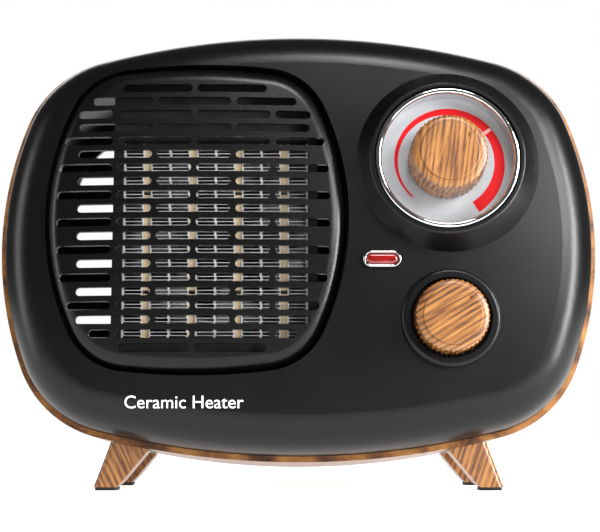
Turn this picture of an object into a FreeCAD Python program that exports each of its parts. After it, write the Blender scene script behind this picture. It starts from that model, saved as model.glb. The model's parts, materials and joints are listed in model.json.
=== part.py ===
import FreeCAD, Part
import os
import re
from math import atan2, cos, hypot, pi, radians, sin
from types import SimpleNamespace

# Ceramic fan heater on four splayed legs, millimetres.
# The body is drawn upright, front towards -Y, about the centre of its front outline, and
# every node that belongs to it carries the same backward lean. Legs are drawn in place.

V = FreeCAD.Vector
TOWARDS_FRONT = FreeCAD.Rotation(V(1, 0, 0), 90)

sizes = dict(
    # stance
    lean=5, body_y=-2.1, body_z=124.6,
    # front outline, three arcs to a quarter
    case_a=151.8, case_b=109.6, case_top_r=422, case_side_r=180, case_corner_r=54,
    # black front moulding
    rim_y=-26, bezel_depth=30, crown_r=1500, bezel_round=20, bezel_wall=2.4, seat_gap=0.25,
    rebate=3,
    # wood effect sleeve
    band=3.2, shell_back=66, shell_taper=3, shell_wall=2.6, shell_round=4, flange=3,
    flange_inset=13, boss_inset=7.5, boss_r=4.5, rear_screw_x=100,
    # rear cover
    cover_inset=4, cover_thick=3.6, cover_round=2.5, vent_first=-71.4, vent_pitch=16.4,
    vent_height=8.4, vent_left=-138, vent_right=44, vent_rows=10,
    # outlet grille
    grille_x=-51.5, grille_z=9, grille_a=77, grille_b=80.5, grille_top_r=318,
    grille_side_r=141, grille_corner_r=34, grille_seat=-44, ledge=3.5, ledge_back=-42,
    grille_gap=1.1, grille_front=-58.5, grille_crown=700, grille_round=8.5, grille_wall=2.2,
    collar_wall=2.2,
    slot_rows=20, row_top=76.3, row_pitch=7.058, slot_height=4.2, slot_pitch=39.9,
    slot_gap=2.5, field_x=-52.9, field_r=69,
    # thermostat dial
    dial_x=74.8, dial_z=37.2, turret_base_r=47.6, turret_top_r=38.8, turret_base=-52,
    turret_front=-65, turret_round=1.2, well_r=36.8, well_floor=-54, floor_back=-50.5,
    face_r=36.3, face_front=-55.2, ring_outer=36.4, ring_inner=33.2, ring_front=-64.8,
    # knobs
    knob_r=19.6, knob_back=-56, knob_front=-77, knob_taper=0.6, knob_face_r=14.8, knob_round=4.2,
    flutes=44, flute_depth=0.8, shaft_r=3, fit=0.05,
    selector_x=76.2, selector_z=-42.7, sel_ring_r=24.9, sel_ring_front=-56.6, sel_well_r=20.5,
    sel_floor=-47.5, sel_cup_r=23.6, sel_cup_back=-45.5, sel_knob_r=19.1, sel_knob_back=-48,
    sel_knob_front=-65,
    # indicator
    lamp_x=41.9, lamp_z=-13.1, lamp_pad=-56, rim_w=19, rim_h=8.2, rim_front=-57.2,
    lens_w=16, lens_h=5.4, lens_front=-57.9, loose=0.3,
    # control bracket
    bracket_front=-36, bracket_back=-34, screw_r=1.5,
    # heating element
    ptc_x=-42.7, ptc_z=-0.7, cell=11.775, ptc_h=104, plate_t=0.8, electrode_t=0.5, stone_w=3.5,
    fin_pitch=1.8, fin_t=0.3, ptc_front=-39, ptc_back=-25, frame_front=-40, frame_back=-24,
    frame_w=101, frame_h=114, frame_gap=0.5, flange_h=165,
    # duct and fan
    duct_wall=1.6, duct_back=-18, duct_hole_r=46, duct_end=-2, fan_r=43, hub_r=14,
    fan_front=-15, fan_back=-4, blades=7, spindle_r=1.5, motor_r=18, motor_len=34,
    arm_reach=51,
    # legs
    leg_front=-36.9, leg_rear=32.1, leg_depth=20, pad_h=1.8, leg_gap=0.3, leg_screw_x=88,
    # tip switch
    tip_x=103, tip_y=-24, tip_z=-32.6,
    # cord gland
    gland_x=98, gland_z=-61.6,
)
n = SimpleNamespace(**sizes)

doc = FreeCAD.newDocument("heater")
sheet = doc.addObject("Spreadsheet::Sheet", "Dims")
for row, (word, value) in enumerate(sizes.items(), 1):
    sheet.set("A%d" % row, word)
    sheet.set("B%d" % row, str(value))
    sheet.setAlias("B%d" % row, word)
doc.recompute()


def link(obj, prop, value):
    """A text formula is tied to the sheet, a plain number is set."""
    if isinstance(value, str):
        text = re.sub(r"[a-z]\w*", lambda w: ("Dims." if w.group() in sizes else "") + w.group(), value)
        obj.setExpression(prop, text)
    elif "." in prop:
        obj.setExpression(prop, repr(float(value)))
    else:
        setattr(obj, prop, value)


def place(obj, x=0, y=0, z=0, turn=None):
    if turn:
        obj.Placement.Rotation = turn
    for axis, value in zip("xyz", (x, y, z)):
        link(obj, "Placement.Base." + axis, value)
    return obj


def box(x, y, z, wide, deep, high, turn=None):
    """Box from its low corner."""
    obj = doc.addObject("Part::Box", "box")
    for prop, value in zip(("Length", "Width", "Height"), (wide, deep, high)):
        link(obj, prop, value)
    return place(obj, x, y, z, turn)


def block(x, z, wide, high, front, back):
    """Box centred on x, z between two depths."""
    return box("%s-(%s)/2" % (x, wide), front, "%s-(%s)/2" % (z, high), wide,
               "(%s)-(%s)" % (back, front), high)


def rod(x, z, r, front, back):
    obj = doc.addObject("Part::Cylinder", "rod")
    link(obj, "Radius", r)
    link(obj, "Height", "(%s)-(%s)" % (back, front))
    return place(obj, x, back, z, TOWARDS_FRONT)


def post(x, y, low, high, r):
    """Upright cylinder."""
    obj = doc.addObject("Part::Cylinder", "post")
    link(obj, "Radius", r)
    link(obj, "Height", "(%s)-(%s)" % (high, low))
    return place(obj, x, y, low)


def taper(x, z, r_back, r_front, front, back):
    obj = doc.addObject("Part::Cone", "taper")
    link(obj, "Radius1", r_back)
    link(obj, "Radius2", r_front)
    link(obj, "Height", "(%s)-(%s)" % (back, front))
    return place(obj, x, back, z, TOWARDS_FRONT)


def cut(base, tool):
    obj = doc.addObject("Part::Cut", "cut")
    obj.Base, obj.Tool = base, tool
    return obj


def common(base, tool):
    obj = doc.addObject("Part::Common", "common")
    obj.Base, obj.Tool = base, tool
    return obj


def fuse(*parts):
    if len(parts) == 1:
        return parts[0]
    obj = doc.addObject("Part::MultiFuse", "fuse")
    obj.Shapes = list(parts)
    return obj


def soften(base, r, wanted):
    """Round the edges that the test accepts."""
    doc.recompute()
    picked = [i for i, edge in enumerate(base.Shape.Edges, 1) if wanted(edge)]
    obj = doc.addObject("Part::Fillet", "soften")
    obj.Base = base
    obj.Edges = [(i, r, r) for i in picked]
    return obj


def at_depth(y):
    return lambda edge: all(abs(v.Y - y) < 1e-3 for v in edge.Vertexes)


def sketch(body, curves, y):
    """Front-view sketch at depth y; local x and y are the object's x and z."""
    sk = body.newObject("Sketcher::SketchObject", "outline")
    sk.AttachmentSupport = [([o for o in body.Origin.OriginFeatures if o.Role == "XZ_Plane"][0], "")]
    sk.MapMode = "FlatFace"
    link(sk, "AttachmentOffset.Base.z", "-(%s)" % y)
    sk.addGeometry(curves, False)
    return sk


def prism(curves, front, back):
    body = doc.addObject("PartDesign::Body", "prism")
    sk = sketch(body, curves, back)
    pad = body.newObject("PartDesign::Pad", "pad")
    pad.Profile = sk
    link(pad, "Length", "(%s)-(%s)" % (back, front))
    body.Tip = pad
    return body


def loft(front_curves, front, back_curves, back):
    body = doc.addObject("PartDesign::Body", "loft")
    near = sketch(body, back_curves, back)
    far = sketch(body, front_curves, front)
    obj = body.newObject("PartDesign::AdditiveLoft", "loft")
    obj.Profile = near
    obj.Sections = [far]
    obj.Ruled = True
    body.Tip = obj
    return body


def squircle(shape, grow=0, x=0, z=0):
    """Closed outline of eight arcs: shape is half width, half height and three radii."""
    a, b, rt, rs, rc = (value + grow for value in shape)
    top, side, r1, r2 = b - rt, a - rs, rt - rc, rs - rc
    d = hypot(top, side)
    ex = (side / d, -top / d)
    along = (r1 * r1 - r2 * r2 + d * d) / (2 * d)
    off = (r1 * r1 - along * along) ** 0.5
    for k in (1, -1):
        c = (ex[0] * along - ex[1] * off * k, top + ex[1] * along + ex[0] * off * k)
        if c[0] > 0 and c[1] > 0:
            break
    al, be = atan2(c[1] - top, c[0]), atan2(c[1], c[0] - side)
    arcs = [(side, 0, rs, -be, be), (c[0], c[1], rc, be, al), (0, top, rt, al, pi - al),
            (-c[0], c[1], rc, pi - al, pi - be), (-side, 0, rs, pi - be, pi + be),
            (-c[0], -c[1], rc, pi + be, pi + al), (0, -top, rt, pi + al, 2 * pi - al),
            (c[0], -c[1], rc, 2 * pi - al, 2 * pi - be)]
    return [Part.ArcOfCircle(Part.Circle(V(x + p, z + q, 0), V(0, 0, 1), r), f, g)
            for p, q, r, f, g in arcs]


def stadium(x, z, wide, high):
    r, half = high / 2, (wide - high) / 2
    left, right = V(x - half, z, 0), V(x + half, z, 0)
    up = V(0, r, 0)
    return [Part.LineSegment(left + up, right + up), Part.LineSegment(right - up, left - up),
            Part.ArcOfCircle(Part.Circle(left, V(0, 0, 1), r), pi / 2, 3 * pi / 2),
            Part.ArcOfCircle(Part.Circle(right, V(0, 0, 1), r), -pi / 2, pi / 2)]


def polygon(points):
    return [Part.LineSegment(V(*p, 0), V(*q, 0)) for p, q in zip(points, points[1:] + points[:1])]


def scallops(x, z, r):
    """Fluted outline, hollows cut into a circle."""
    step = 2 * pi / n.flutes
    at = lambda i, rr: V(x + rr * cos(i * step), z + rr * sin(i * step), 0)
    return [Part.Arc(at(i, r), at(i + 0.5, r - n.flute_depth), at(i + 1, r))
            for i in range(int(n.flutes))]


def dome(shape, grow, x, z, apex, back, crown, edge):
    """Prism with a spherical front and a rounded edge; apex, back and crown are formulas."""
    flat = prism(squircle(shape, grow, x, z), "(%s)-5" % apex, back)
    ball = doc.addObject("Part::Sphere", "ball")
    link(ball, "Radius", crown)
    place(ball, x, "(%s)+(%s)" % (apex, crown), z)
    obj = common(flat, ball)
    doc.recompute()
    rim = next(f for f in obj.Shape.Faces if f.Surface.TypeId == "Part::GeomSphere")
    return soften(obj, edge, lambda e: any(e.isSame(k) for k in rim.Edges))


nodes = []


def finish(label, obj):
    obj.Label = label
    nodes.append(obj)
    return obj


def node(label, *parts):
    """A sub-part of the body: its pieces with the common lean."""
    obj = doc.addObject("Part::Compound", label)
    obj.Links = list(parts)
    lean_over(obj)
    return finish(label, obj)


def lean_over(obj):
    obj.Placement.Rotation = FreeCAD.Rotation(V(1, 0, 0), -n.lean)
    link(obj, "Placement.Rotation.Angle", "lean")
    place(obj, 0, "body_y", "body_z")
    # the turn is stored as a positive angle about -X once it is tied to the sheet
    obj.Placement.Rotation.Axis = V(-1, 0, 0)
    return obj


def screw(x, z, head, tip, r="screw_r", towards=1):
    """Pan-head screw along Y; towards=1 has the head at the back and the tip in front."""
    if towards > 0:
        return fuse(rod(x, z, r, tip, head), rod(x, z, "(%s)*1.9" % r, head, "(%s)+1.8" % head))
    return fuse(rod(x, z, r, head, tip), rod(x, z, "(%s)*1.9" % r, "(%s)-1.8" % head, head))


case = (n.case_a, n.case_b, n.case_top_r, n.case_side_r, n.case_corner_r)
mouth = (n.grille_a, n.grille_b, n.grille_top_r, n.grille_side_r, n.grille_corner_r)
gx, gz = n.grille_x, n.grille_z


def top_of(shape, grow, x):
    """Height of an outline's top arc at x."""
    return shape[1] - shape[2] + ((shape[2] + grow) ** 2 - x * x) ** 0.5


# ---- fastener places ----
bracket_screws = [(40, 66), (110.5, 66), (41, -66), (110.5, -66)]
duct_x = 46
duct_dz = top_of(mouth, n.screw_r + 1, duct_x)
duct_screws = [(gx + i * duct_x, gz + k * duct_dz) for i in (-1, 1) for k in (-1, 1)]
rear_dz = top_of(case, n.band - n.shell_taper - n.boss_inset, n.rear_screw_x) + n.band - n.shell_taper
rear_screws = [(i * n.rear_screw_x, k * (rear_dz - n.band + n.shell_taper)) for i in (-1, 1) for k in (-1, 1)]
arm_angles = [90, 210, 330]
arms = [(n.ptc_x + n.arm_reach * cos(radians(w)), n.ptc_z + n.arm_reach * sin(radians(w)))
        for w in arm_angles]

# ---- front bezel ----
rear = "rim_y+rebate"
skin = dome(case, 0, 0, 0, "rim_y-bezel_depth", rear, "crown_r", n.bezel_round)
turret = taper("dial_x", "dial_z", "turret_base_r", "turret_top_r", "turret_front", "turret_base")
turret = soften(turret, n.turret_round, at_depth(n.turret_front))
sel_ring = soften(rod("selector_x", "selector_z", "sel_ring_r", "sel_ring_front", "rim_y-bezel_depth+4"),
                  2, at_depth(n.sel_ring_front))
lamp_pad = prism(stadium(n.lamp_x, n.lamp_z, n.rim_w + 1.4, n.rim_h + 1.4), "lamp_pad",
                 "rim_y-bezel_depth+2")
hollow = dome(case, -n.bezel_wall, 0, 0, "rim_y-bezel_depth+bezel_wall", "rim_y+rebate+1",
              "crown_r-bezel_wall", n.bezel_round - n.bezel_wall)
kept = fuse(
    prism(squircle(mouth, n.collar_wall, gx, gz), "rim_y-bezel_depth-6", "ledge_back"),
    rod("dial_x", "dial_z", "well_r+5", "turret_base", "floor_back"),
    rod("selector_x", "selector_z", "sel_cup_r", "rim_y-bezel_depth", "sel_cup_back"),
    *[rod(x, z, 3.5, "rim_y-bezel_depth", "bracket_front") for x, z in bracket_screws],
    *[rod(x, z, "screw_r+2", "rim_y-bezel_depth", "ledge_back") for x, z in duct_screws])
openings = fuse(
    prism(squircle(mouth, 0, gx, gz), "rim_y-bezel_depth-8", "grille_seat"),
    prism(squircle(mouth, -n.ledge, gx, gz), "grille_seat-1", "ledge_back+1"),
    rod("dial_x", "dial_z", "well_r", "turret_front-2", "well_floor"),
    rod("dial_x", "dial_z", "shaft_r+1", "well_floor-1", "floor_back+1"),
    rod("selector_x", "selector_z", "sel_well_r", "sel_ring_front-2", "sel_floor"),
    rod("selector_x", "selector_z", "shaft_r+1", "sel_floor-1", "sel_cup_back+1"),
    prism(stadium(n.lamp_x, n.lamp_z, n.lens_w + 0.6, n.lens_h + 0.6), "lamp_pad-2", "lamp_pad+8"),
    *[rod(x, z, "screw_r+fit", "bracket_front-9", "bracket_front+1") for x, z in bracket_screws])
pilot = fuse(*[rod(x, z, "screw_r+fit", "ledge_back-3", "ledge_back+1") for x, z in duct_screws])
bezel = cut(cut(fuse(skin, turret, sel_ring, lamp_pad), fuse(cut(hollow, kept), openings)), pilot)
node("front_bezel", bezel)

# ---- outlet grille ----
plate = dome(mouth, -n.grille_gap, gx, gz, "grille_front", "grille_seat", "grille_crown",
             n.grille_round)
inside = dome(mouth, -n.grille_gap - n.grille_wall, gx, gz, "grille_front+grille_wall",
              "grille_seat+1", "grille_crown-grille_wall", n.grille_round - n.grille_wall)
slots = []
for row in range(int(n.slot_rows)):
    z = n.row_top - row * n.row_pitch
    up = abs(z - (n.row_top - 9.5 * n.row_pitch)) / 68.5
    reach = n.field_r * (1 - up ** 3.6 * 0.34) * (1 - up ** 14 * 0.3)
    shift = 0 if row % 2 == 0 or row == n.slot_rows - 1 else n.slot_pitch / 2
    for k in range(-3, 4):
        left = n.field_x + (k - 1) * n.slot_pitch + shift + n.slot_gap / 2
        right = left + n.slot_pitch - n.slot_gap
        left, right = max(left, n.field_x - reach), min(right, n.field_x + reach)
        if right - left > 9:
            slots += stadium((left + right) / 2, z, right - left, n.slot_height)
node("grille_panel", cut(cut(plate, inside), prism(slots, "grille_front-3", "grille_seat-3")))

# ---- wood effect sleeve ----
wood = loft(squircle(case, n.band), "rim_y", squircle(case, n.band - n.shell_taper), "shell_back")
sleeve_outer = soften(wood, n.shell_round, at_depth(n.shell_back))
bore = fuse(
    prism(squircle(case, n.seat_gap), "rim_y-1", rear),
    loft(squircle(case, -1), "rim_y+rebate-1",
         squircle(case, n.band - n.shell_taper - n.shell_wall), "shell_back-flange"),
    prism(squircle(case, n.band - n.shell_taper - n.flange_inset), "shell_back-flange-1",
          "shell_back+1"))
leg_marks = [(i * n.leg_screw_x, y) for i in (-1, 1) for y in (-15.5, 53)]
stays = fuse(*[rod(x, z, "boss_r", "shell_back-16", "shell_back-flange/2") for x, z in rear_screws],
             *[post(x, y, "9.7-case_b", "15-case_b", 4.5) for x, y in leg_marks])
drill = fuse(*[rod(x, z, "screw_r+fit", "shell_back-15", "shell_back+1") for x, z in rear_screws],
             *[post(x, y, "1-case_b", "18-case_b", "screw_r+fit") for x, y in leg_marks])
node("body_shell", cut(fuse(cut(sleeve_outer, bore), stays), drill))

# ---- rear cover ----
lid_outline = squircle(case, n.band - n.shell_taper - n.cover_inset)
lid = soften(prism(lid_outline, "shell_back", "shell_back+cover_thick"), n.cover_round,
             at_depth(n.shell_back + n.cover_thick))
vents = []
for row in range(int(n.vent_rows)):
    vents += stadium((n.vent_left + n.vent_right) / 2, n.vent_first + row * n.vent_pitch,
                     n.vent_right - n.vent_left, n.vent_height)
lid_holes = fuse(prism(vents, "shell_back-1", "shell_back+cover_thick+1"),
                 rod("gland_x", "gland_z", "6.3", "shell_back-1", "shell_back+cover_thick+1"),
                 *[rod(x, z, "screw_r+fit", "shell_back-1", "shell_back+cover_thick+1")
                   for x, z in rear_screws])
node("rear_cover", cut(lid, lid_holes))
node("rear_cover_screws", *[screw(x, z, "shell_back+cover_thick", "shell_back-13")
                            for x, z in rear_screws])
node("cord_gland", cut(fuse(rod("gland_x", "gland_z", 8.5, "shell_back+cover_thick",
                                "shell_back+cover_thick+2.4"),
                            rod("gland_x", "gland_z", 6, "shell_back-8", "shell_back+cover_thick"),
                            taper("gland_x", "gland_z", 6.2, 7.2, "shell_back+cover_thick+2.4",
                                  "shell_back+cover_thick+8")),
                       rod("gland_x", "gland_z", 3.6, "shell_back-9", "shell_back+cover_thick+9")))
hexagon = [(n.gland_x + 9 * cos(pi * i / 3), n.gland_z + 9 * sin(pi * i / 3)) for i in range(6)]
node("gland_nut", cut(prism(polygon(hexagon), "shell_back-5", "shell_back"),
                      rod("gland_x", "gland_z", "6+fit", "shell_back-6", "shell_back+1")))
entry = fuse(*[rod(60 + 10 * i, -68, 1.8, "shell_back-11", "shell_back-4") for i in range(3)])
node("terminal_block", cut(box(54, "shell_back-10", -74, 32, 10, 12), entry))

# ---- thermostat dial ----
node("dial_face", cut(rod("dial_x", "dial_z", "face_r", "face_front", "well_floor"),
                      rod("dial_x", "dial_z", "shaft_r+1", "face_front-1", "well_floor+1")))
ring = cut(rod("dial_x", "dial_z", "ring_outer", "ring_front", "face_front"),
           rod("dial_x", "dial_z", "ring_inner", "ring_front-1", "face_front+1"))
node("dial_ring", soften(ring, 1.35, at_depth(n.ring_front)))


def knob(x, z, r, back, front, notch_turn):
    """Fluted knob with a raised face disc, a shaft bore and a pointer notch."""
    px, pz = sizes[x], sizes[z]
    shoulder = "(%s)+0.7" % front
    skirt = loft(scallops(px, pz, r - n.knob_taper), shoulder, scallops(px, pz, r), back)
    limit = soften(rod(x, z, r + 0.1, shoulder, back), n.knob_round, at_depth(sizes[front] + 0.7))
    disc = soften(rod(x, z, "knob_face_r", front, "(%s)+4" % shoulder), 0.6,
                  at_depth(sizes[front]))
    notch = box(11.6, 0, -0.8, 6.4, 1.6, 1.6, FreeCAD.Rotation(V(0, 1, 0), -notch_turn))
    w = radians(notch_turn)
    place(notch, px + 11.6 * cos(w) + 0.8 * sin(w), "(%s)-0.4" % front,
          pz + 11.6 * sin(w) - 0.8 * cos(w))
    bored = rod(x, z, "shaft_r+fit", "(%s)+9" % front, "(%s)+1" % back)
    return cut(fuse(common(skirt, limit), disc), fuse(notch, bored))


node("thermostat_knob", knob("dial_x", "dial_z", n.knob_r, "knob_back", "knob_front", 40))
w = radians(37)
tab = box(0, 0, 0, 14.5, 0.5, 1.8, FreeCAD.Rotation(V(0, 1, 0), -37))
place(tab, n.dial_x + 13.8 * cos(w) + 0.9 * sin(w), "knob_back", n.dial_z + 13.8 * sin(w) - 0.9 * cos(w))
node("thermostat_pointer", tab)
node("thermostat_shaft", rod("dial_x", "dial_z", "shaft_r", "knob_front+9.5", -28))
node("thermostat_body", cut(fuse(block("dial_x", "dial_z", 34, 28, "bracket_back", "bracket_back+20"),
                                 rod("dial_x", "dial_z", 5, "bracket_front-2", "bracket_back")),
                            rod("dial_x", "dial_z", "shaft_r+fit", "bracket_front-3", -27)))
node("thermostat_terminals", *[block("dial_x+%d" % (i * 9), "dial_z+4", 0.8, 6.3, "bracket_back+20",
                                     "bracket_back+27") for i in (-1, 1)])

# ---- heat selector ----
node("selector_knob", knob("selector_x", "selector_z", n.sel_knob_r, "sel_knob_back",
                           "sel_knob_front", 44))
node("selector_shaft", rod("selector_x", "selector_z", "shaft_r", "sel_knob_front+9.5", -26))
node("selector_switch", cut(fuse(block("selector_x", "selector_z", 28, 28, "bracket_back",
                                       "bracket_back+20"),
                                 rod("selector_x", "selector_z", 5, "bracket_front-2",
                                     "bracket_back")),
                            rod("selector_x", "selector_z", "shaft_r+fit", "bracket_front-3", -25)))
node("selector_terminals", *[block("selector_x+%d" % (i * 8), "selector_z+%d" % (k * 6), 0.8, 4.8,
                                   "bracket_back+20", "bracket_back+27")
                             for i in (-1, 0, 1) for k in (-1, 1)])

# ---- bracket behind the controls ----
sheet_metal = box(35, "bracket_front", -71.6, 80, "bracket_back-bracket_front", 143)
stay_holes = fuse(rod("dial_x", "dial_z", "5+fit", "bracket_front-1", "bracket_back+1"),
                  rod("selector_x", "selector_z", "5+fit", "bracket_front-1", "bracket_back+1"),
                  *[rod(x, z, "screw_r+fit", "bracket_front-1", "bracket_back+1")
                    for x, z in bracket_screws])
node("control_bracket", cut(sheet_metal, stay_holes))
node("control_bracket_screws", *[screw(x, z, "bracket_back", "bracket_front-8")
                                 for x, z in bracket_screws])

# ---- indicator ----
rim = cut(prism(stadium(n.lamp_x, n.lamp_z, n.rim_w, n.rim_h), "rim_front", "lamp_pad"),
          prism(stadium(n.lamp_x, n.lamp_z, n.lens_w + 0.6, n.lens_h + 0.6), "rim_front-1",
                "lamp_pad+1"))
node("indicator_rim", soften(rim, 0.45, at_depth(n.rim_front)))
lens = prism(stadium(n.lamp_x, n.lamp_z, n.lens_w, n.lens_h), "lens_front", "lamp_pad+6")
node("indicator_lens", soften(lens, 1.6, at_depth(n.lens_front)))
node("indicator_housing", cut(block("lamp_x", "lamp_z", 22, 11, "lamp_pad+6", "bracket_front"),
                              block("lamp_x", "lamp_z", 14, 6.4, "lamp_pad+5", "bracket_front-2")))
lamp = rod("lamp_x", "lamp_z", 2.4, "lamp_pad+8", "bracket_front-2")
node("neon_lamp", soften(lamp, 2.0, at_depth(n.lamp_pad + 8)))

# ---- air duct, one moulding ----
duct_w, duct_h = "(frame_w+2*frame_gap+2*duct_wall)", "(frame_h+2*frame_gap+2*duct_wall)"
duct = fuse(
    block("ptc_x", "grille_z", duct_w, "flange_h", "ledge_back", "ledge_back+2"),
    block("ptc_x", "ptc_z", duct_w, duct_h, "frame_front", "duct_back+duct_wall"),
    rod("ptc_x", "ptc_z", "duct_hole_r+2", "duct_back", "duct_end"),
    *[rod(x, z, 4.5, "duct_end-10", "duct_end") for x, z in arms])
duct_room = fuse(
    block("ptc_x", "ptc_z", "8*cell+1", "ptc_h+2", "ledge_back-1", "frame_front+1"),
    block("ptc_x", "ptc_z", "frame_w+2*frame_gap", "frame_h+2*frame_gap", "frame_front",
          "duct_back"),
    rod("ptc_x", "ptc_z", "duct_hole_r", "duct_back-1", "duct_end+1"),
    *[rod(x, z, "screw_r+fit", "duct_end-9", "duct_end+1") for x, z in arms],
    *[rod(x, z, "screw_r+fit", "ledge_back-1", "frame_front+1") for x, z in duct_screws])
node("air_duct", cut(duct, duct_room))
node("duct_screws", *[screw(x, z, "frame_front", "ledge_back-2.5") for x, z in duct_screws])

# ---- heating element ----
node("heater_frame", cut(block("ptc_x", "ptc_z", "frame_w", "frame_h", "frame_front", "frame_back"),
                         block("ptc_x", "ptc_z", "8*cell+1", "ptc_h+0.4", "frame_front-1",
                               "frame_back+1")))
left = n.ptc_x - 4 * n.cell
dividers = [block(left + 2 * i * n.cell, "ptc_z", "plate_t", "ptc_h", "ptc_front", "ptc_back")
            for i in range(5)]
electrodes = [block("ptc_x-4*cell+%d*cell+%d*(stone_w+electrode_t)/2" % (2 * i + 1, k), "ptc_z",
                    "electrode_t", "ptc_h", "ptc_front", "ptc_back")
              for i in range(4) for k in (-1, 1)]
node("heater_plates", *dividers, *electrodes)
node("ceramic_stones", *[block("ptc_x-4*cell+%d*cell" % (2 * i + 1), "ptc_z+%g" % (26 * k),
                               "stone_w", 24, "ptc_front+1", "ptc_back-1")
                         for i in range(4) for k in (-1.5, -0.5, 0.5, 1.5)])


def folded(x, z, half, count, side):
    """One face of a strip folded back and forth in level runs, on the given side of its path."""
    t = n.fin_t / 2
    points = [(x - half, z - side * t)]
    for j in range(count):
        at, low, high = (-1 if j % 2 else 1), z + j * n.fin_pitch, z + (j + 1) * n.fin_pitch
        out = t if at == side else -t
        points += [(x + at * (half - t + out), low - out), (x + at * (half - t + out), high + out)]
    end = -1 if count % 2 else 1
    points.append((x + end * half, z + count * n.fin_pitch - side * end * t))
    return points


fins = []
inner, outer = (n.stone_w / 2 + n.electrode_t), n.plate_t / 2
fin_half = (n.cell - inner - outer) / 2 - 0.05
count = int(n.ptc_h / n.fin_pitch) - 1
for i in range(4):
    for k in (-1, 1):
        x = left + (2 * i + 1) * n.cell + k * (inner + fin_half + 0.05)
        z0 = n.ptc_z - count * n.fin_pitch / 2
        right, back = folded(x, z0, fin_half, count, 1), folded(x, z0, fin_half, count, -1)
        fins.append(prism(polygon(right + back[::-1]), "ptc_front", "ptc_back"))
node("heater_fins", *fins)
node("heater_terminals", *[block("ptc_x-4*cell+%d*cell+(stone_w+electrode_t)/2" % i, -40, 0.5, 6.3,
                                 "ptc_back", "ptc_back+6") for i in (1, 3, 5)])
cutout_z = "ptc_z+frame_h/2+frame_gap+duct_wall"
node("thermal_cutout", fuse(post("ptc_x", -29, cutout_z, cutout_z + "+6", 7.5),
                            box("ptc_x-12", -33, cutout_z, 24, 8, 0.8)))

# ---- fan ----
blade_rods = []
for i in range(int(n.blades)):
    turn = (FreeCAD.Rotation(V(0, 1, 0), 360 / n.blades * i) *
            FreeCAD.Rotation(V(1, 0, 0), 38))
    blade = box(0, 0, 0, 42, 1.6, 17)
    blade.Placement.Rotation = turn
    corner = turn.multVec(V(6, -0.8, -8.5))
    place(blade, n.ptc_x + corner.x, "(fan_front+fan_back)/2%+.6f" % corner.y, n.ptc_z + corner.z)
    blade_rods.append(blade)
fan = common(fuse(*blade_rods), rod("ptc_x", "ptc_z", "fan_r", "fan_front", "fan_back"))
node("fan_impeller", cut(fuse(fan, rod("ptc_x", "ptc_z", "hub_r", "fan_front", "fan_back")),
                         rod("ptc_x", "ptc_z", "spindle_r+fit", "fan_front+2", "fan_back+1")))
node("motor_shaft", rod("ptc_x", "ptc_z", "spindle_r", "fan_front+2.3", 30))
motor = soften(rod("ptc_x", "ptc_z", "motor_r", 0, "motor_len"), 2, at_depth(n.motor_len))
node("fan_motor", cut(motor, rod("ptc_x", "ptc_z", "spindle_r+fit", -1, 30.5)))
spokes = []
for deg in arm_angles:
    spoke = box(0, 0, 0, "arm_reach+5", 2, 9, FreeCAD.Rotation(V(0, 1, 0), -deg))
    w = radians(deg)
    spokes.append(place(spoke, n.ptc_x + 4.5 * sin(w), "duct_end", n.ptc_z - 4.5 * cos(w)))
node("motor_bracket", cut(fuse(rod("ptc_x", "ptc_z", "motor_r+3", "duct_end", 0), *spokes),
                          fuse(rod("ptc_x", "ptc_z", 5, "duct_end-1", 1),
                               *[rod(x, z, "screw_r+fit", "duct_end-1", 1) for x, z in arms])))
node("motor_bracket_screws", *[screw(x, z, 0, "duct_end-8") for x, z in arms])

# ---- tip-over switch ----
case_box = box("tip_x-9", "bracket_back", "tip_z-20", 18, 20, 25)
case_room = box("tip_x-7.5", "bracket_back+1.5", "tip_z-18.5", 15, 19.5, 22)


def cross_rod(x, wide, r):
    obj = doc.addObject("Part::Cylinder", "cross")
    link(obj, "Radius", r)
    link(obj, "Height", wide)
    return place(obj, x, "tip_y", "tip_z", FreeCAD.Rotation(V(0, 1, 0), 90))


node("tip_switch_body", cut(case_box, fuse(case_room, cross_rod("tip_x-10", 20, "1+fit"))))
node("tip_switch_pin", cross_rod("tip_x-9", 18, 1))
eye = doc.addObject("Part::Cylinder", "eye")
link(eye, "Radius", 2.4)
link(eye, "Height", 6)
place(eye, -3, 0, 0, FreeCAD.Rotation(V(0, 1, 0), 90))
eye_bore = doc.addObject("Part::Cylinder", "eye_bore")
link(eye_bore, "Radius", "1+fit")
link(eye_bore, "Height", 8)
place(eye_bore, -4, 0, 0, FreeCAD.Rotation(V(0, 1, 0), 90))
pendulum = doc.addObject("Part::Compound", "tip_switch_pendulum")
pendulum.Links = [cut(fuse(eye, box(-1, -1, -13, 2, 2, 13), box(-5, -2, -16, 10, 4, 5)), eye_bore)]
place(pendulum, "tip_x", "body_y+tip_y*cos(lean)+tip_z*sin(lean)",
      "body_z-tip_y*sin(lean)+tip_z*cos(lean)")
finish("tip_switch_pendulum", pendulum)

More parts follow.
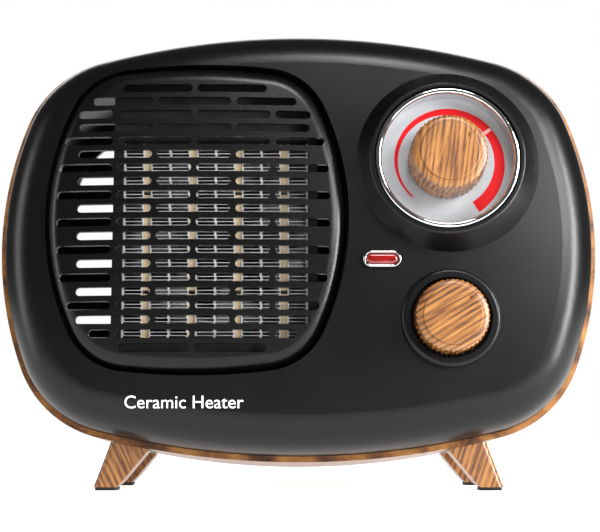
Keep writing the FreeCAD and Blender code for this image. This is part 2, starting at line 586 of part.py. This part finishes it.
# ---- legs ----
profile = [(-105, n.pad_h), (-90, 41.7), (-77.5, 41.7), (-77.5, 19.9), (-90.4, 4.4), (-93.3, n.pad_h)]
hull = lean_over(doc.addObject("Part::Compound", "hull"))
hull.Links = [loft(squircle(case, n.band + n.leg_gap), "rim_y-4",
                   squircle(case, n.band - n.shell_taper + n.leg_gap), "shell_back+4")]
for side, sx in (("left", 1), ("right", -1)):
    for spot, y, mark in (("front", "leg_front", -15.5), ("rear", "leg_rear", 53)):
        bar = prism(polygon([(sx * x, z) for x, z in profile]), y, y + "+leg_depth")
        bar = soften(bar, 3, lambda e: abs(abs(e.Vertexes[0].X) - 105) < 1e-3 and
                     abs(abs(e.Vertexes[1].X) - 90) < 1e-3 or
                     abs(abs(e.Vertexes[1].X) - 105) < 1e-3 and
                     abs(abs(e.Vertexes[0].X) - 90) < 1e-3)
        hole = lean_over(doc.addObject("Part::Compound", "hole"))
        hole.Links = [post(-sx * n.leg_screw_x, mark, "0.5-case_b", "18-case_b", "screw_r+fit")]
        leg = doc.addObject("Part::Compound", "leg_%s_%s" % (spot, side))
        leg.Links = [cut(cut(bar, hull), hole)]
        finish("leg_%s_%s" % (spot, side), leg)
        pad = doc.addObject("Part::Compound", "foot_pad_%s_%s" % (spot, side))
        pad.Links = [box(-104.3 if sx > 0 else 93.3, y + "+3", 0, 11, "leg_depth-6", "pad_h")]
        finish("foot_pad_%s_%s" % (spot, side), pad)
leg_fixings = []
for x, y in leg_marks:
    leg_fixings.append(fuse(post(x, y, "1-case_b", "15-case_b", "screw_r"),
                            post(x, y, "15-case_b", "17-case_b", "screw_r*1.9")))
node("leg_screws", *leg_fixings)

# ---- check and write ----
doc.recompute()
bad = [o.Name for o in doc.Objects if "Invalid" in o.State or "Error" in o.State]
bad += [o.Label + " shape" for o in nodes if o.Shape.isNull() or not o.Shape.isValid() or not o.Shape.Solids]
if bad:
    raise SystemExit("not sound: " + ", ".join(bad))
os.makedirs("parts", exist_ok=True)
for obj in nodes:
    obj.Shape.exportStep("parts/%s.step" % obj.Label)
print(len(nodes), "sub-parts written")
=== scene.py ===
# %% [markdown]
# # A retro ceramic heater, dressed for its portrait
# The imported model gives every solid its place, so nothing here moves one of them. This lesson
# gives each real finish to the pieces that wear it, adds the printed line of words, and sets up
# a pale studio. Lengths are metres; the body leans back a little on its legs.

# %% Load the frame
import json
from math import atan, radians

import bpy
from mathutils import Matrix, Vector


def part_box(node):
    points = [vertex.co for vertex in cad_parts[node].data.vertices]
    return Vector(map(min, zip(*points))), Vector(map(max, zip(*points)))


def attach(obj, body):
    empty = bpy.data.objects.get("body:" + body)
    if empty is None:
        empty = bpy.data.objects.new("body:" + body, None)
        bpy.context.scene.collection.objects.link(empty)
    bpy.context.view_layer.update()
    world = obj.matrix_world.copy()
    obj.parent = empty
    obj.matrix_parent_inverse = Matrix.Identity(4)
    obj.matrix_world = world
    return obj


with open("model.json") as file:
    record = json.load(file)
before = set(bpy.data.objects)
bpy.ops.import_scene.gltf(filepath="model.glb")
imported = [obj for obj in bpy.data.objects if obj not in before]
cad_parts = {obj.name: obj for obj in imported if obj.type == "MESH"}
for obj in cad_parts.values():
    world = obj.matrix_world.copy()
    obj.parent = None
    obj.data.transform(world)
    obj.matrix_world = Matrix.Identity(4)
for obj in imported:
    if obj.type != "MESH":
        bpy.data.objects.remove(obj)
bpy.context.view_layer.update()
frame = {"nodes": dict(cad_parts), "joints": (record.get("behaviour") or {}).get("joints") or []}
nodes = frame["nodes"]

# %% [markdown]
# The heater's body is tipped back, so "up" on its front isn't world up. Two directions, read
# from the thermostat's own axis, let a pattern be laid out on the front as if it stood upright.

# %% Directions on the leaning front
joints = {joint["name"]: joint for joint in frame["joints"]}
dial = joints["thermostat_turn"]
into_body = Vector(dial["axis"]).normalized()
across = Vector((1, 0, 0))
up_front = across.cross(into_body).normalized()
dial_centre = Vector(dial["pos_m"])
print("up along the front", tuple(round(v, 4) for v in up_front))


# %% [markdown]
# Shader maths reads best as ordinary arithmetic. The class below wraps one output of a node, and
# each operator adds a Math node, so `1 - mask` builds the node for us. Any other kind of node
# comes from `Finish.node`, which takes its type, its settings and what feeds its sockets.

# %% A small language for materials
class Wire:
    """One output socket of a material, with arithmetic."""

    def __init__(self, finish, socket):
        self.finish, self.socket = finish, socket

    def maths(self, operation, *others):
        return self.finish.node("Math", {"operation": operation}, {
            i: value for i, value in enumerate((self,) + others)})

    def __add__(self, other):
        return self.maths("ADD", other)

    def __radd__(self, other):
        return self.maths("ADD", other)

    def __sub__(self, other):
        return self.maths("SUBTRACT", other)

    def __rsub__(self, other):
        return self.finish.node("Math", {"operation": "SUBTRACT"}, {0: other, 1: self})

    def __mul__(self, other):
        return self.maths("MULTIPLY", other)

    def __rmul__(self, other):
        return self.maths("MULTIPLY", other)

    def __gt__(self, other):
        return self.maths("GREATER_THAN", other)

    def __lt__(self, other):
        return self.maths("LESS_THAN", other)


class Finish:
    """A new material with its Principled shader, built up node by node."""

    def __init__(self, name, **constants):
        self.material = bpy.data.materials.new(name)
        self.material.use_nodes = True
        self.tree = self.material.node_tree
        self.shader = self.tree.nodes["Principled BSDF"]
        for socket, value in constants.items():
            self.shader.inputs[socket.replace("_", " ")].default_value = value

    def node(self, kind, settings=None, feeds=None, output=0):
        made = self.tree.nodes.new("ShaderNode" + kind)
        for word, value in (settings or {}).items():
            if word == "stops":
                ramp = made.color_ramp
                while len(ramp.elements) < len(value):
                    ramp.elements.new(0.5)
                for element, (place, colour) in zip(ramp.elements, value):
                    element.position, element.color = place, tuple(colour) + (1,)
            else:
                setattr(made, word, value)
        for key, value in (feeds or {}).items():
            self.feed(made.inputs[key], value)
        return Wire(self, made.outputs[output])

    def feed(self, socket, value):
        if isinstance(value, Wire):
            self.tree.links.new(value.socket, socket)
        else:
            socket.default_value = value

    def wear(self, socket, value):
        """Links a varying value to the shader."""
        self.feed(self.shader.inputs[socket], value)
        return self

    def place(self, scale=(1, 1, 1), turn=(0, 0, 0), move=(0, 0, 0)):
        """Position on the piece, stretched or turned by a Mapping node."""
        spot = self.node("TexCoord", output=3)
        if any(turn):
            spot = self.node("Mapping", {}, {"Vector": spot, "Rotation": turn})
        return self.node("Mapping", {}, {"Vector": spot, "Location": move, "Scale": scale})

    def noise(self, where, scale, detail=3.0, rough=0.5, twist=0.0):
        return self.node("TexNoise", {}, {"Vector": where, "Scale": scale, "Detail": detail,
                                          "Roughness": rough, "Distortion": twist})

    def offset(self, centre):
        """Position on the piece, measured from a point."""
        return self.node("VectorMath", {"operation": "SUBTRACT"},
                         {0: self.place(), 1: tuple(centre)})

    def dot(self, first, second):
        """Dot product of two vectors, as one number."""
        return self.node("VectorMath", {"operation": "DOT_PRODUCT"},
                         {0: first, 1: second}, 1)

    def blend(self, amount, first, second):
        return self.node("Mix", {"data_type": "RGBA"}, {0: amount, 6: first, 7: second}, 2)

    def bump(self, height, depth, strength=1.0):
        return self.wear("Normal", self.node("Bump", {}, {"Height": height, "Distance": depth,
                                                          "Strength": strength}))

    def give(self, *names):
        """Puts the finish on CAD nodes."""
        for name in names:
            slots = nodes[name].data.materials
            slots.clear()
            slots.append(self.material)
        return self


# %% [markdown]
# ## Satin black moulding
# The front is one large injection moulding. Its mould was spark-eroded to a very fine grain,
# which spreads a highlight into a soft grey band. Fine noise in the bump, and a broad drift in
# the roughness, do that without any visible pattern.

# %% Black mouldings
def black_moulding(name, tone, rough, grain, *wearers):
    made = Finish(name, Specular_IOR_Level=0.27)
    spot = made.place()
    fine = made.noise(spot, grain, 4)
    drift = made.noise(spot, 22, 2)
    made.wear("Base Color", made.blend(drift, (tone, tone, tone * 1.04, 1),
                                       (tone * 1.5, tone * 1.5, tone * 1.6, 1)))
    made.wear("Roughness", drift * 0.08 + fine * 0.06 + (rough - 0.07))
    made.bump(fine, 0.00012, 0.35)
    return made.give(*wearers)


black_moulding("satin_black_front", 0.0018, 0.29, 2600, "front_bezel")
black_moulding("satin_black_grille", 0.0016, 0.28, 2400, "grille_panel")
black_moulding("grained_black_back", 0.012, 0.5, 1500, "rear_cover", "cord_gland", "gland_nut",
               "terminal_block")
black_moulding("duct_black", 0.0025, 0.55, 1800, "air_duct", "heater_frame")
black_moulding("control_black", 0.02, 0.5, 1600, "thermostat_body", "selector_switch",
               "indicator_housing", "tip_switch_body", "fan_impeller")


# %% [markdown]
# ## Printed wood effect
# The sleeve, legs and knobs are plastic wrapped in a printed film: warm orange brown, with dark
# grain that bends round knots. Stretching the position along the grain before it reaches the
# noise turns blobs into streaks, and a second, slower noise bends them. A thin clear lacquer
# gives the satin shine.

# %% Wood film
WOOD_DARK, WOOD_BROWN = (0.035, 0.010, 0.003), (0.125, 0.042, 0.009)
WOOD_WARM, WOOD_PALE = (0.245, 0.098, 0.021), (0.40, 0.19, 0.052)
SHADE = (0.006, 0.005, 0.005, 1)


SLEEVE_HALF_WIDE, SLEEVE_HALF_HIGH = 0.152, 0.108
COVER_EDGE = 0.88  # where the rear cover ends, as a share of the sleeve's rounded outline


def painted_shade_inside(made):
    """1 on faces that look back at the middle of the piece, where shade is painted; 0 on its
    outer skin.
    """
    lo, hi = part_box("body_shell")
    middle = (lo + hi) / 2
    ray = made.node("VectorMath", {"operation": "SUBTRACT"},
                    {0: made.node("TexCoord", output=3), 1: tuple(middle)})
    looks = made.node("NewGeometry", output=3)
    flat = made.node("VectorMath", {"operation": "MULTIPLY"}, {0: looks, 1: (1, 0, 1)})
    outward = made.dot(flat, ray)
    forward = made.dot(looks, (0, -1, 0))
    behind = made.dot(ray, (0, 1, 0))
    aside = made.dot(ray, (1 / SLEEVE_HALF_WIDE, 0, 0))
    aloft = made.dot(ray, (0, 0, 1 / SLEEVE_HALF_HIGH))
    covered = (aside.maths("ABSOLUTE").maths("POWER", 3) +
               aloft.maths("ABSOLUTE").maths("POWER", 3)) < COVER_EDGE
    within = (outward < -0.01).maths("MAXIMUM", (forward > 0.5) * (behind > -0.02))
    return within.maths("MAXIMUM", (forward < -0.5) * covered)


def wood_film(name, stretch, turn, move, *wearers, lines=1.0, knots=1.4, paint_inner_shade=False):
    made = Finish(name, Specular_IOR_Level=0.5, Coat_Weight=0.25, Coat_Roughness=0.22)
    grain = made.place(stretch, turn, move)
    swirl = made.noise(grain, 1.0, 3, 0.55, knots)
    rings = made.node("TexWave", {"wave_type": "BANDS", "bands_direction": "DIAGONAL",
                                  "wave_profile": "SIN"},
                      {"Vector": grain, "Scale": 0.62 * lines, "Distortion": 5.5, "Detail": 3.0,
                       "Detail Scale": 0.9, "Detail Roughness": 0.6}, 1)
    pores = made.noise(grain, 4.2 * lines, 6, 0.72, 0.5)
    value = swirl * 0.46 + rings * 0.16 + pores * 0.52
    colour = made.node("ValToRGB", {"stops": [(0.40, WOOD_DARK), (0.50, WOOD_BROWN),
                                              (0.60, WOOD_WARM), (0.80, WOOD_PALE)]},
                       {"Fac": value})
    # Painted shade: faces inside the sleeve, seen through the grille and the rear vents, are
    # coloured near black instead of wood.
    if paint_inner_shade:
        colour = made.blend(painted_shade_inside(made), colour, SHADE)
    made.wear("Base Color", colour)
    made.wear("Roughness", 0.46 - value * 0.14)
    made.bump(pores, 0.00015, 0.25)
    return made.give(*wearers)


wood_film("wood_sleeve", (38, 300, 38), (radians(5), 0, 0), (0.3, 0.1, 0.2), "body_shell",
          paint_inner_shade=True)
for leg, tilt in (("left", 22), ("right", -22)):
    wood_film("wood_leg_" + leg, (330, 150, 22), (0, radians(tilt), 0), (0.7, 0.3, 0.1),
              "leg_front_" + leg, "leg_rear_" + leg)
wood_film("wood_thermostat_knob", (380, 70, 22), (0, radians(-11), 0), (0.4, 0.2, 0.9),
          "thermostat_knob")
wood_film("wood_selector_knob", (380, 70, 22), (0, radians(-62), 0), (0.1, 0.5, 0.2),
          "selector_knob")

# %% [markdown]
# ## The dial
# A satin silver plate carries one printed mark: a red band that starts as a hairline at the
# coolest setting and widens clockwise to the hottest. Its shape is worked out from the place on
# the plate: how far from the centre, and how far round.

# %% Silver dial with its red band
BAND_START, BAND_END = radians(226.8), radians(-58)
BAND_GAP = (BAND_START - radians(360) + BAND_END) / 2  # the middle of the part left bare
BAND_INNER, BAND_THIN, BAND_WIDE = 0.0245, 0.0008, 0.0063

silver = Finish("dial_silver", Specular_IOR_Level=0.25)
from_centre = silver.offset(dial_centre)
right = silver.dot(from_centre, tuple(across))
rise = silver.dot(from_centre, tuple(up_front))
radius = (right * right + rise * rise).maths("POWER", 0.5)
angle = rise.maths("ARCTAN2", right)
angle = angle + (angle < BAND_GAP) * radians(360)
share = (BAND_START - angle) * (1 / (BAND_START - BAND_END))
edge = share * (BAND_WIDE - BAND_THIN) + (BAND_INNER + BAND_THIN)
band = (share > 0) * (share < 1) * (radius > BAND_INNER) * (edge > radius)
brushed = silver.noise(silver.place((1, 1, 1)), 900, 3)
silver.wear("Base Color", silver.blend(band, (0.40, 0.41, 0.43, 1), (0.50, 0.002, 0.005, 1)))
silver.wear("Metallic", (1 - band) * 0.35)
silver.wear("Roughness", brushed * 0.12 + 0.28)
silver.give("dial_face")
print("red band from", round(BAND_INNER * 1000, 1), "mm out")

# %% [markdown]
# ## Bright trim, lens and pointer
# The dial's ring and the lamp's rim are vacuum plated plastic: nearly a mirror, with the faint
# waviness that plating has. The lens is red clear plastic over a small lamp, and the pointer is a
# sliver of clear plastic with a pink cast.

# %% Plated trim
chrome = Finish("plated_trim", Metallic=1.0)
ripple = chrome.noise(chrome.place(), 260, 2)
chrome.wear("Base Color", chrome.blend(ripple, (0.60, 0.60, 0.61, 1), (0.80, 0.80, 0.81, 1)))
chrome.wear("Roughness", ripple * 0.08 + 0.05).bump(ripple, 0.0002, 0.1)
chrome.give("dial_ring", "indicator_rim")

# %% Red lens
lens = Finish("red_lens", Roughness=0.12, Coat_Weight=0.8, Coat_Roughness=0.05)
glow = lens.noise(lens.place((1, 1, 2)), 210, 2)
lens.wear("Base Color", lens.blend(glow, (0.02, 0.0005, 0.0005, 1), (0.30, 0.008, 0.005, 1)))
lens.wear("Emission Color", lens.blend(glow, (0.0, 0.0, 0.0, 1), (0.45, 0.012, 0.008, 1)))
lens.shader.inputs["Emission Strength"].default_value = 0.12
lens.give("indicator_lens")

# %% Pointer and lamp glass
clear = Finish("pink_clear_pointer", Specular_IOR_Level=0.5, Coat_Weight=0.6)
haze = clear.noise(clear.place(), 500, 2)
clear.wear("Base Color", clear.blend(haze, (0.60, 0.22, 0.21, 1), (0.75, 0.38, 0.36, 1)))
clear.wear("Roughness", haze * 0.1 + 0.12)
clear.give("thermostat_pointer")
glass = Finish("lamp_glass", Roughness=0.08)
tint = glass.noise(glass.place(), 400, 2)
glass.wear("Base Color", glass.blend(tint, (0.9, 0.45, 0.3, 1), (1.0, 0.7, 0.5, 1)))
glass.give("neon_lamp")


# %% [markdown]
# ## Metal and ceramic behind the grille
# Folded aluminium fins catch the studio light in bright ticks between the slots; further back
# their colour is painted near black, as painted shade. They and the plates are thin rolled strip;
# the stones between them are unglazed ceramic. Each gets its own noise so that no two folds shine
# quite alike.

# %% Inside metals and stones
# Painted shade: fins lying further behind the dial's plane than this are coloured near black.
FIN_SHADE_DEPTH = 0.0217  # how far behind the dial's plane the fins' bright cut edges end


def metal(name, dark, light, rough, scale, *wearers, bright_edge_deep_shade=False):
    made = Finish(name, Metallic=0.35 if bright_edge_deep_shade else 1.0)
    spot = made.place((1, 1, 0.3))
    mottled = made.noise(spot, scale, 4)
    colour = made.blend(mottled, tuple(dark) + (1,), tuple(light) + (1,))
    if bright_edge_deep_shade:
        # Painted shade: deeper than their bright front edges, the fins are coloured near black,
        # as shade deep inside the heater.
        deep = made.dot(made.offset(dial_centre), tuple(into_body))
        colour = made.blend(deep > FIN_SHADE_DEPTH, colour, (0.06, 0.06, 0.062, 1))
    made.wear("Base Color", colour)
    made.wear("Roughness", mottled * 0.2 + rough)
    made.bump(mottled, 0.0001, 0.2)
    return made.give(*wearers)


metal("rolled_aluminium", (0.82, 0.82, 0.83), (0.97, 0.97, 0.97), 0.22, 320, "heater_fins",
      "heater_plates", bright_edge_deep_shade=True)
metal("bright_steel", (0.42, 0.42, 0.44), (0.66, 0.66, 0.68), 0.22, 700, "thermostat_shaft",
      "selector_shaft", "motor_shaft", "tip_switch_pin", "tip_switch_pendulum", "leg_screws",
      "rear_cover_screws", "control_bracket_screws", "duct_screws", "motor_bracket_screws")
metal("galvanised_sheet", (0.40, 0.41, 0.42), (0.62, 0.63, 0.65), 0.35, 90, "control_bracket",
      "motor_bracket", "thermal_cutout", "fan_motor")
metal("brass_tabs", (0.52, 0.36, 0.12), (0.72, 0.54, 0.24), 0.25, 500, "thermostat_terminals",
      "selector_terminals", "heater_terminals")

stone = Finish("ceramic_stone", Specular_IOR_Level=0.3)
speck = stone.noise(stone.place(), 900, 5, 0.7)
stone.wear("Base Color", stone.blend(speck, (0.42, 0.31, 0.18, 1), (0.78, 0.66, 0.46, 1)))
stone.wear("Roughness", speck * 0.2 + 0.65).bump(speck, 0.0002, 0.4)
stone.give("ceramic_stones")

rubber = Finish("foot_rubber", Specular_IOR_Level=0.3)
scuff = rubber.noise(rubber.place(), 600, 4)
rubber.wear("Base Color", rubber.blend(scuff, (0.012, 0.012, 0.012, 1), (0.035, 0.034, 0.033, 1)))
rubber.wear("Roughness", scuff * 0.2 + 0.7).bump(scuff, 0.0002, 0.4)
rubber.give("foot_pad_front_left", "foot_pad_front_right", "foot_pad_rear_left",
            "foot_pad_rear_right")

# %% [markdown]
# ## Words printed on the front
# A line of small white words sits low on the left of the front. The real print is a film of ink
# that follows the domed moulding, so flat letters are made first, turned into a mesh, and each
# of its points is then dropped onto the dome by casting a ray at the front moulding.

# %% Printed words
WORDS_AT, WORDS_HIGH, INK = (-0.057, 0.0445), 0.0091, 0.00006

bpy.ops.object.select_all(action="DESELECT")
bpy.ops.object.text_add(location=(0, 0, 0))
words = bpy.context.object
words.data.body = "Ceramic Heater"
words.data.size = WORDS_HIGH
words.data.align_x, words.data.align_y = "CENTER", "CENTER"
words.data.resolution_u = 4
bpy.ops.object.convert(target="MESH")
words = bpy.context.object
words.name = "front_words"
bpy.ops.object.mode_set(mode="EDIT")
bpy.ops.mesh.select_all(action="SELECT")
bpy.ops.mesh.remove_doubles(threshold=1e-6)
bpy.ops.mesh.subdivide(number_cuts=1)
bpy.ops.object.mode_set(mode="OBJECT")
front = nodes["front_bezel"]
for point in words.data.vertices:
    start = Vector((WORDS_AT[0] + point.co.x, -0.2, WORDS_AT[1] + point.co.y))
    hit, place, normal, _ = front.ray_cast(start, Vector((0, 1, 0)))
    if hit:
        point.co = place + normal * INK
words.data.update()
ink = Finish("white_ink", Specular_IOR_Level=0.4)
worn = ink.noise(ink.place(), 1500, 3)
ink.wear("Base Color", ink.blend(worn, (0.80, 0.80, 0.80, 1), (0.92, 0.92, 0.92, 1)))
ink.wear("Roughness", worn * 0.1 + 0.45)
words.data.materials.append(ink.material)
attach(words, "housing")
print("words", len(words.data.polygons), "faces")

# %% [markdown]
# ## Studio
# A pale floor glows brighter with distance, so it runs on into a bright background without a
# line between them. What the camera sees behind the heater is white, while the world that the
# mouldings reflect is much dimmer, so black stays black and only the large soft lamps draw
# highlights along its edges.

# %% Floor and world
bpy.ops.object.select_all(action="DESELECT")
bpy.ops.mesh.primitive_plane_add(size=6, location=(0, 1.2, 0))
floor = bpy.context.object
floor.name = "studio_floor"
pale = Finish("pale_floor", Roughness=0.6, Specular_IOR_Level=0.1)
pale.wear("Base Color", pale.blend(pale.noise(pale.place(), 3, 2), (0.90, 0.90, 0.90, 1),
                                   (0.93, 0.93, 0.93, 1)))
reach = pale.node("VectorMath", {"operation": "LENGTH"}, {0: pale.place(move=floor.location)}, 1)
distant = pale.node("MapRange", {}, {"Value": reach, "From Min": 0.4, "From Max": 1.6})
pale.wear("Emission Color", pale.blend(distant, (0.8, 0.8, 0.8, 1), (1, 1, 1, 1)))
pale.shader.inputs["Emission Strength"].default_value = 1.0
floor.data.materials.append(pale.material)

world = bpy.data.worlds.new("studio")
bpy.context.scene.world = world
world.use_nodes = True
tree = world.node_tree
seen = tree.nodes["Background"]
seen.inputs["Color"].default_value = (1, 1, 1, 1)
seen.inputs["Strength"].default_value = 1.0
lit = tree.nodes.new("ShaderNodeBackground")
lit.inputs["Color"].default_value = (1, 1, 1, 1)
lit.inputs["Strength"].default_value = 0.10
path = tree.nodes.new("ShaderNodeLightPath")
choose = tree.nodes.new("ShaderNodeMixShader")
tree.links.new(path.outputs["Is Camera Ray"], choose.inputs[0])
tree.links.new(lit.outputs[0], choose.inputs[1])
tree.links.new(seen.outputs[0], choose.inputs[2])
tree.links.new(choose.outputs[0], tree.nodes["World Output"].inputs["Surface"])


# %% Soft lamps
def softbox(name, spot, target, wide, high, power):
    bpy.ops.object.light_add(type="AREA", location=spot)
    lamp = bpy.context.object
    lamp.name = name
    lamp.data.shape = "RECTANGLE"
    lamp.data.size, lamp.data.size_y = wide, high
    lamp.data.energy = power
    aim = Vector(target) - Vector(spot)
    lamp.rotation_mode = "QUATERNION"
    lamp.rotation_quaternion = aim.to_track_quat("-Z", "Y")
    return lamp


middle = (0, 0, 0.12)
softbox("key_above", (0.25, -1.2, 1.5), middle, 0.5, 0.4, 18)
softbox("sheen_right", (0.75, -1.0, 0.62), middle, 0.35, 0.4, 12)
softbox("strip_right", (1.0, -0.55, 0.3), middle, 0.16, 0.8, 24)
softbox("strip_left", (-1.1, -0.25, 0.3), middle, 0.3, 0.8, 4)
softbox("rear_glow", (0, 1.3, 0.7), middle, 1.6, 1.0, 12)

# %% [markdown]
# ## Camera
# The portrait was taken from straight in front, low down, through a long lens. The camera stands
# three quarters of a metre off at hand height above the floor, and a little shift keeps the
# heater's uprights parallel.

# %% Camera
PICTURE_W, LENS_REACH, OFF_CENTRE = 600, 1445, 1.5
EYE, SENSOR = Vector((0, -0.7785, 0.032)), 36
HORIZON_BELOW_MIDDLE, SHIFTED = 162, 60

camera_data = bpy.data.cameras.new("portrait")
camera = bpy.data.objects.new("portrait", camera_data)
bpy.context.scene.collection.objects.link(camera)
camera_data.sensor_width = SENSOR
camera_data.lens = SENSOR * LENS_REACH / PICTURE_W
camera_data.shift_x = OFF_CENTRE / PICTURE_W
camera_data.shift_y = SHIFTED / PICTURE_W
camera_data.clip_start, camera_data.clip_end = 0.05, 20
camera.location = EYE
camera.rotation_euler = (radians(90) + atan((HORIZON_BELOW_MIDDLE - SHIFTED) / LENS_REACH), 0, 0)
bpy.context.scene.camera = camera
bpy.context.scene.view_settings.view_transform = "Standard"
